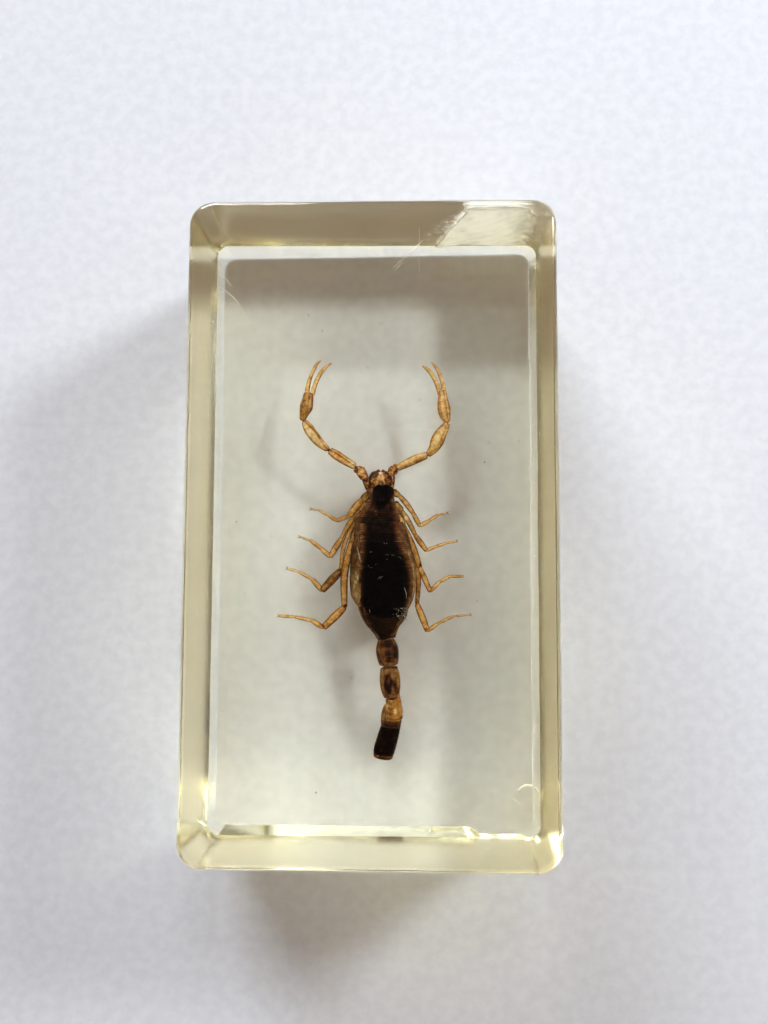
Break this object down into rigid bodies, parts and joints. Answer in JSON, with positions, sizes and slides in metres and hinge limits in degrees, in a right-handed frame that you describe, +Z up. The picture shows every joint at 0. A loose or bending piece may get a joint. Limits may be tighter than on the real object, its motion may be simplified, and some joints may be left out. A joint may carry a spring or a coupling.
{
  "type": "scorpion in a clear resin block",
  "caption": "Clear cast resin paperweight with rounded edges and a small dried scorpion sealed at mid height; lies flat on its large face.",
  "frame": {"origin": "centre of the large face that the block rests on", "axes": "+Z up through the block's thickness; +Y along its length, towards the end the scorpion's claws point to; +X to the right seen from above"},
  "size_m": [0.041, 0.073, 0.02],
  "materials": {
    "clear_resin": "clear cast polyester, faintly yellow, polished with fine scratches",
    "dark_shell": "dried scorpion back plates and last tail ring, brown black, fine grained",
    "amber_shell": "dried scorpion limbs, translucent honey brown with darker keels",
    "pale_skin": "dried soft skin between the plates, pale straw",
    "dust": "specks and hairline scratches"
  },
  "bodies": {
    "root": {"resin_block": "clear_resin"}
  },
  "joints": []
}
